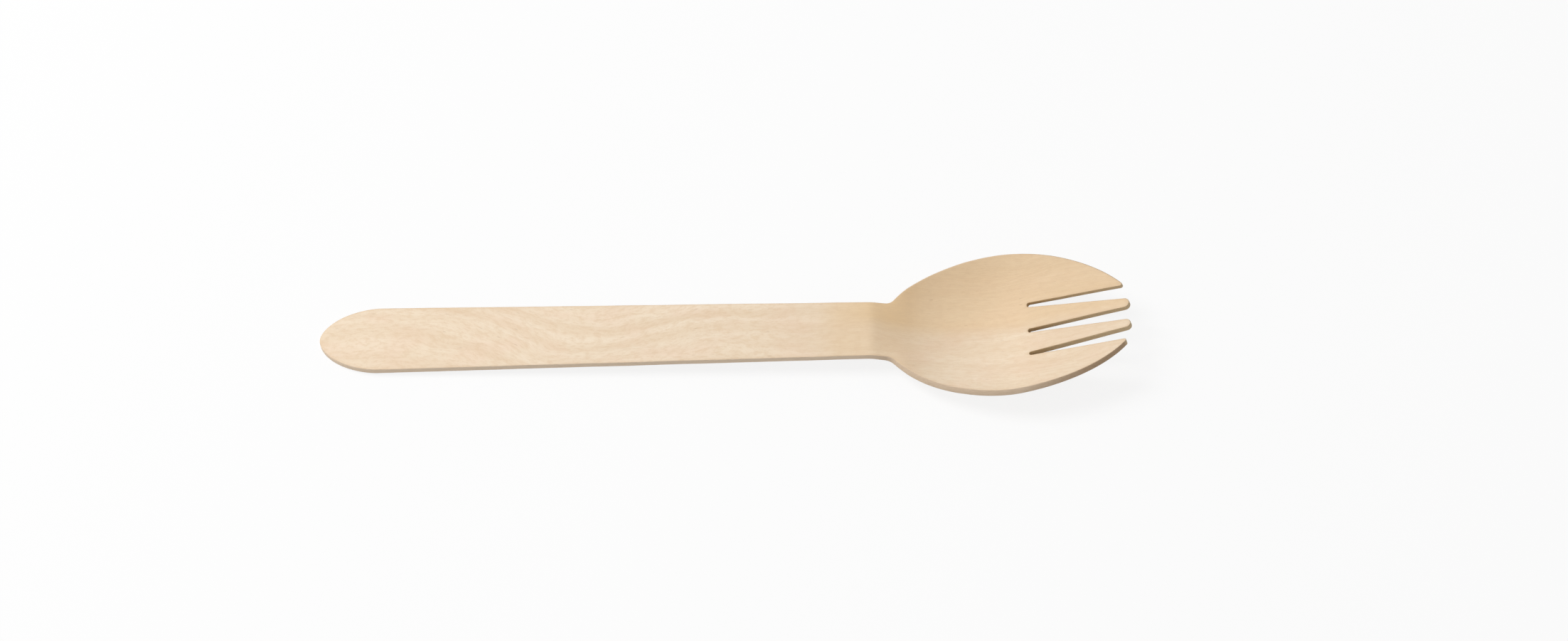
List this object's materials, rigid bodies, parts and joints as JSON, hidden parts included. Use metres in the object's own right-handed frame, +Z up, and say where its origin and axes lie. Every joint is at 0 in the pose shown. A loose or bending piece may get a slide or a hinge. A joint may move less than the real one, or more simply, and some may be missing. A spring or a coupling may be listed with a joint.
{
  "type": "wooden spork",
  "caption": "Disposable wooden spork pressed from birch veneer, with a flat handle, a shallow oval bowl and short tines parted by tapered slots.",
  "frame": {"origin": "on the table, below the middle of the box, with the spork resting on the end of its handle and the bottom of its bowl", "axes": "+X from the handle's end to the tips of the tines, +Y across, +Z up out of the bowl"},
  "size_m": [0.1602, 0.0328, 0.0108],
  "materials": {
    "birch_veneer": "uncoated birch veneer, sanded and hot pressed, matt"
  },
  "bodies": {
    "root": {"spork": "birch_veneer"}
  },
  "joints": []
}
